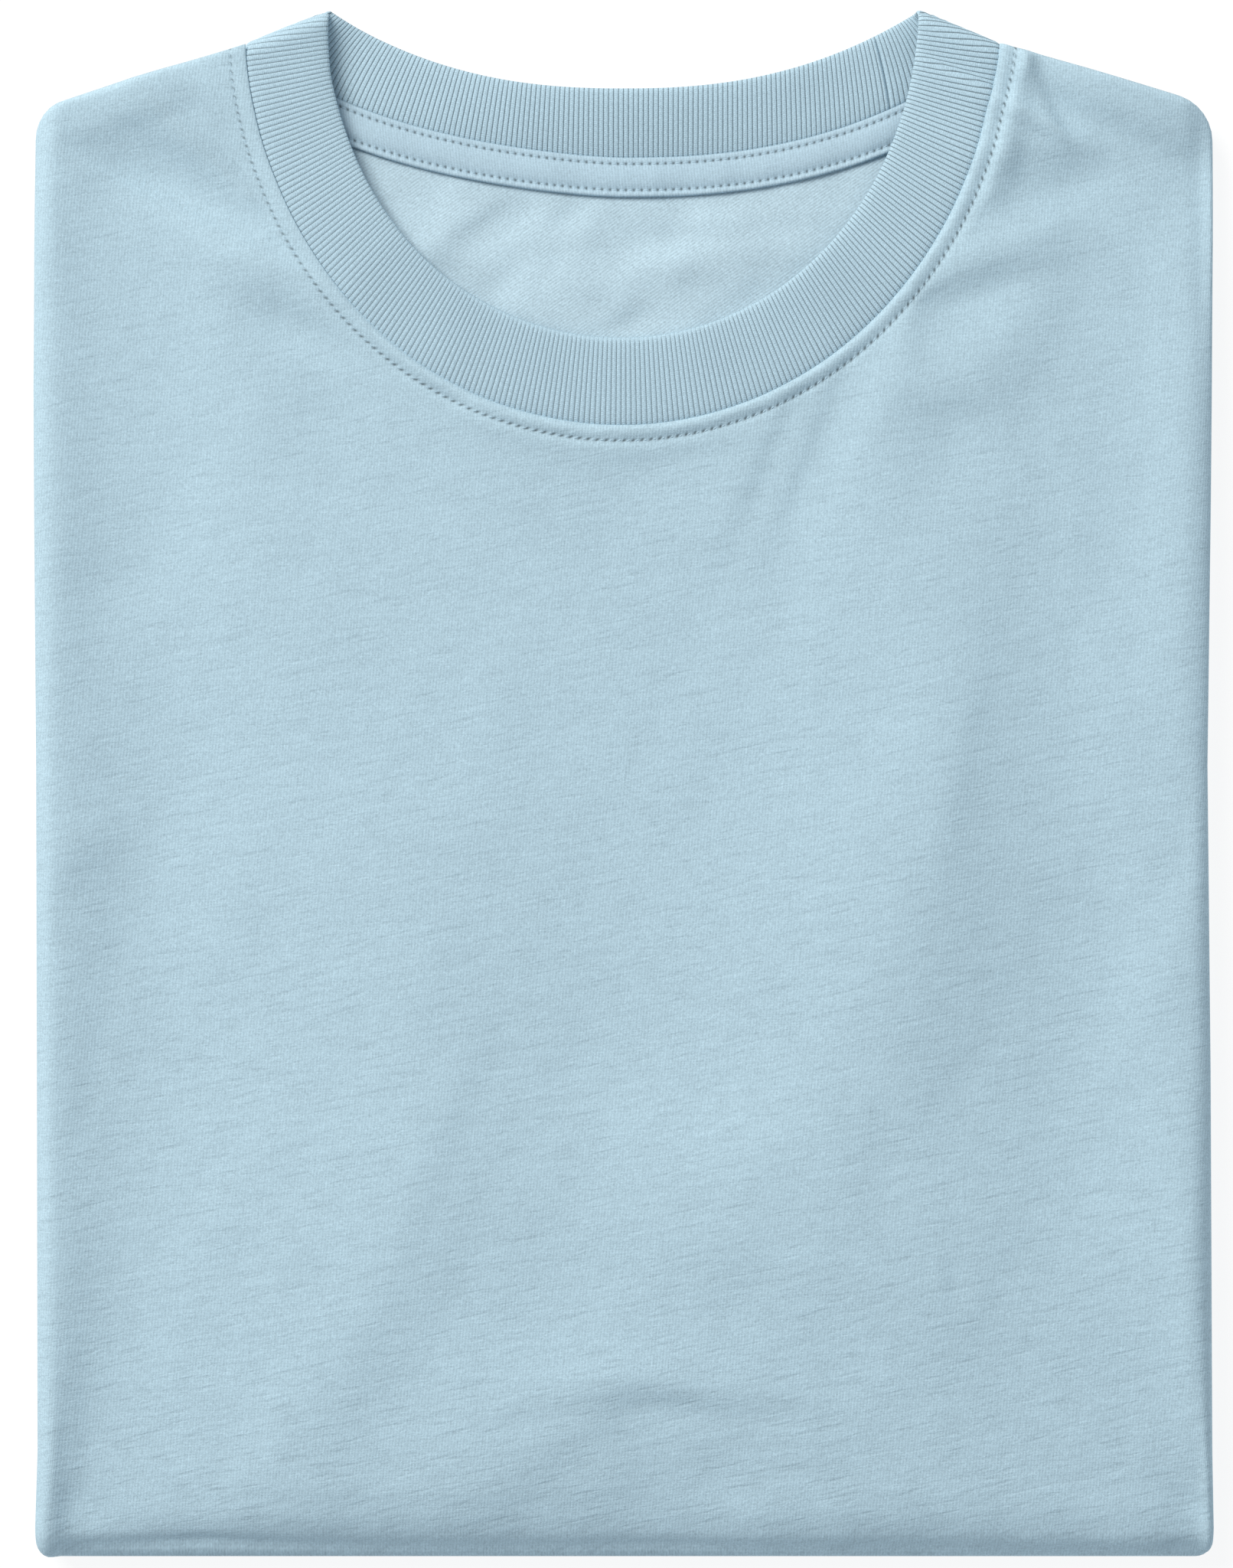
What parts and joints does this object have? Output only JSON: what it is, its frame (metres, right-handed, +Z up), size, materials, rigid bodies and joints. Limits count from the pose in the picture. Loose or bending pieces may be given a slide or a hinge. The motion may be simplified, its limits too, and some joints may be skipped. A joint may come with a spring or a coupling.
{
  "type": "folded t-shirt",
  "caption": "Crew-neck t-shirt with a ribbed collar, folded flat into a rectangle with its sides, sleeves and hem behind.",
  "frame": {"origin": "on the surface that the shirt lies on, under the middle of its bounding box", "axes": "+X across the shirt, to the right when it is seen from above with the neck at the top; +Y from the bottom fold towards the neck; +Z up, out of the front"},
  "size_m": [0.3424, 0.4464, 0.0185],
  "materials": {
    "jersey": "matt light blue cotton jersey, outer face",
    "jersey_inside": "matt light blue cotton jersey, inner face",
    "rib_knit": "matt light blue rib knit",
    "tape": "matt light blue jersey tape"
  },
  "bodies": {
    "root": {"front_panel": "jersey", "back_panel": "jersey_inside", "folded_layers": "jersey_inside", "sleeve_left": "jersey", "sleeve_right": "jersey", "collar": "rib_knit", "neck_tape": "tape"}
  },
  "joints": []
}
